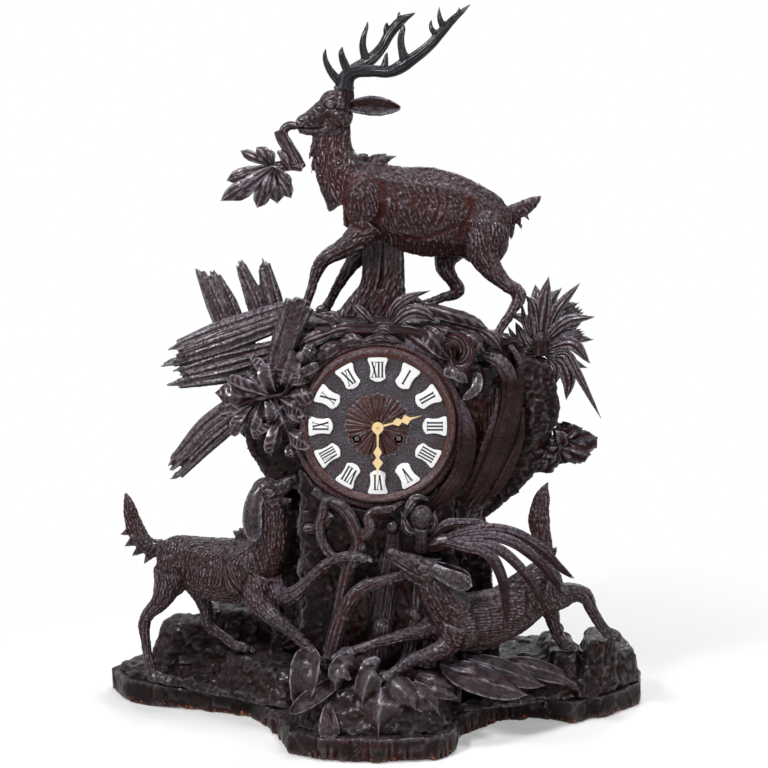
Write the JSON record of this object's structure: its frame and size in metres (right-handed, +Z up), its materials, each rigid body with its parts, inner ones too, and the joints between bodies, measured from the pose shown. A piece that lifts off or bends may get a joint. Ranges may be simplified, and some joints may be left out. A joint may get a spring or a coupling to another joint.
{
  "type": "carved mantel clock",
  "caption": "Carved wooden mantel clock with a stag on top, two hounds on a rocky base, an enamel numeral dial, a spring movement and a hinged rear door.",
  "frame": {"origin": "middle of the underside of the base, which rests on a shelf", "axes": "+X to the right seen from the front, +Y to the back, +Z up"},
  "size_m": [0.565, 0.258, 0.709],
  "materials": {
    "carved_wood": "dark stained carved hardwood with worn reddish recesses and a dull wax sheen",
    "case_wood": "dark stained boards",
    "antler_wood": "dark stained hardwood, smooth",
    "enamel": "white enamel on copper, with black numerals",
    "gilt_brass": "pierced gilt hands",
    "brass": "aged lacquered brass",
    "steel": "polished steel"
  },
  "bodies": {
    "case": {"base_slab": "carved_wood", "base_rocks": "carved_wood", "base_leaves": "carved_wood", "front_board": "case_wood", "side_boards": "case_wood", "top_board": "case_wood", "floor_board": "case_wood", "hinge_case_leaves": "brass", "left_crag": "carved_wood", "right_crag": "carved_wood", "top_ledge": "carved_wood", "tree_stump": "carved_wood", "top_foliage": "carved_wood", "splintered_logs": "carved_wood", "left_leaf_spray": "carved_wood", "reed_tuft": "carved_wood", "right_leaf_cluster": "carved_wood", "curved_reeds": "carved_wood", "arching_reeds": "carved_wood", "twisted_roots": "carved_wood", "stag": "carved_wood", "antlers": "antler_wood", "mouth_branch": "carved_wood", "standing_hound": "carved_wood", "leaping_hound": "carved_wood", "dial_ring": "carved_wood", "dial_plate": "case_wood", "numeral_plaques": "enamel", "dial_rosette": "carved_wood", "front_plate": "brass", "back_plate": "brass", "plate_pillars": "brass", "movement_screws": "steel", "suspension_cock": "brass", "bell": "brass", "bell_stand": "brass"},
    "door": {"rear_door": "case_wood", "hinge_door_leaves": "brass"},
    "latch": {"door_button": "case_wood"},
    "going_drum": {"going_barrel": "brass"},
    "going_winder": {"going_arbor": "steel"},
    "strike_drum": {"strike_barrel": "brass"},
    "strike_winder": {"strike_arbor": "steel"},
    "minute_body": {"centre_wheel": "brass", "cannon_pinion": "brass", "minute_hand": "gilt_brass"},
    "hour_body": {"hour_wheel": "brass", "hour_hand": "gilt_brass"},
    "motion_body": {"minute_wheel": "brass"},
    "third_body": {"third_wheel": "brass"},
    "escape_body": {"escape_wheel": "brass"},
    "anchor_body": {"anchor": "steel"},
    "pendulum": {"suspension_spring": "steel", "pendulum_rod": "steel", "pendulum_bob": "brass"},
    "rating_body": {"rating_nut": "brass"},
    "pin_body": {"pin_wheel": "brass"},
    "lock_body": {"locking_wheel": "brass"},
    "fly_body": {"fly": "brass"},
    "hammer_body": {"hammer": "steel"}
  },
  "joints": [
    {"name": "door_swing", "type": "hinge", "parent": "case", "child": "door", "pos_m": [0.066, 0.0823, 0.23], "axis": [0, 0, -1], "range_deg": [0, 110]},
    {"name": "latch_turn", "type": "hinge", "parent": "case", "child": "latch", "pos_m": [-0.0705, 0.08, 0.23], "axis": [0, 1, 0], "range_deg": [0, 90]},
    {"name": "minute_turn", "type": "hinge", "parent": "case", "child": "minute_body", "pos_m": [0, 0, 0.31], "axis": [0, 1, 0], "continuous": true},
    {"name": "hour_turn", "type": "hinge", "parent": "case", "child": "hour_body", "pos_m": [0, 0, 0.31], "axis": [0, 1, 0], "continuous": true},
    {"name": "motion_turn", "type": "hinge", "parent": "case", "child": "motion_body", "pos_m": [0, 0, 0.298], "axis": [0, 1, 0], "continuous": true},
    {"name": "third_turn", "type": "hinge", "parent": "case", "child": "third_body", "pos_m": [-0.00399, 0, 0.32755], "axis": [0, 1, 0], "continuous": true},
    {"name": "escape_turn", "type": "hinge", "parent": "case", "child": "escape_body", "pos_m": [0, 0, 0.34408], "axis": [0, 1, 0], "continuous": true},
    {"name": "going_drum_turn", "type": "hinge", "parent": "case", "child": "going_drum", "pos_m": [0.02, 0, 0.2975], "axis": [0, 1, 0], "continuous": true},
    {"name": "going_winding", "type": "hinge", "parent": "case", "child": "going_winder", "pos_m": [0.02, 0, 0.2975], "axis": [0, 1, 0], "continuous": true},
    {"name": "pin_turn", "type": "hinge", "parent": "case", "child": "pin_body", "pos_m": [-0.02807, 0, 0.31966], "axis": [0, 1, 0], "continuous": true},
    {"name": "strike_drum_turn", "type": "hinge", "parent": "case", "child": "strike_drum", "pos_m": [-0.02, 0, 0.2975], "axis": [0, 1, 0], "continuous": true},
    {"name": "lock_turn", "type": "hinge", "parent": "case", "child": "lock_body", "pos_m": [-0.02455, 0, 0.3328], "axis": [0, 1, 0], "continuous": true},
    {"name": "fly_turn", "type": "hinge", "parent": "case", "child": "fly_body", "pos_m": [-0.01875, 0, 0.34285], "axis": [0, 1, 0], "continuous": true},
    {"name": "strike_winding", "type": "hinge", "parent": "case", "child": "strike_winder", "pos_m": [-0.02, 0, 0.2975], "axis": [0, 1, 0], "continuous": true},
    {"name": "pendulum_swing", "type": "hinge", "parent": "case", "child": "pendulum", "pos_m": [0, 0.005, 0.36208], "axis": [0, 1, 0], "range_deg": [-3.5, 3.5]},
    {"name": "anchor_rock", "type": "hinge", "parent": "case", "child": "anchor_body", "pos_m": [0, 0, 0.36208], "axis": [0, 1, 0], "range_deg": [-3.5, 3.5]},
    {"name": "rating_turn", "type": "hinge", "parent": "pendulum", "child": "rating_body", "pos_m": [0, 0.005, 0.17308], "axis": [0, 0, 1], "continuous": true},
    {"name": "hammer_lift", "type": "hinge", "parent": "case", "child": "hammer_body", "pos_m": [-0.028, 0, 0.368], "axis": [0, 1, 0], "range_deg": [0, 12]}
  ],
  "couplings": [
    {"joint": "hour_turn", "follows": "minute_turn", "ratio": 0.083333},
    {"joint": "motion_turn", "follows": "minute_turn", "ratio": -0.33333},
    {"joint": "third_turn", "follows": "minute_turn", "ratio": -8},
    {"joint": "escape_turn", "follows": "minute_turn", "ratio": 60},
    {"joint": "going_drum_turn", "follows": "minute_turn", "ratio": -0.14286},
    {"joint": "strike_drum_turn", "follows": "pin_turn", "ratio": -0.14286},
    {"joint": "lock_turn", "follows": "pin_turn", "ratio": -7.5},
    {"joint": "fly_turn", "follows": "pin_turn", "ratio": 46.875},
    {"joint": "anchor_rock", "follows": "pendulum_swing", "ratio": 1}
  ]
}
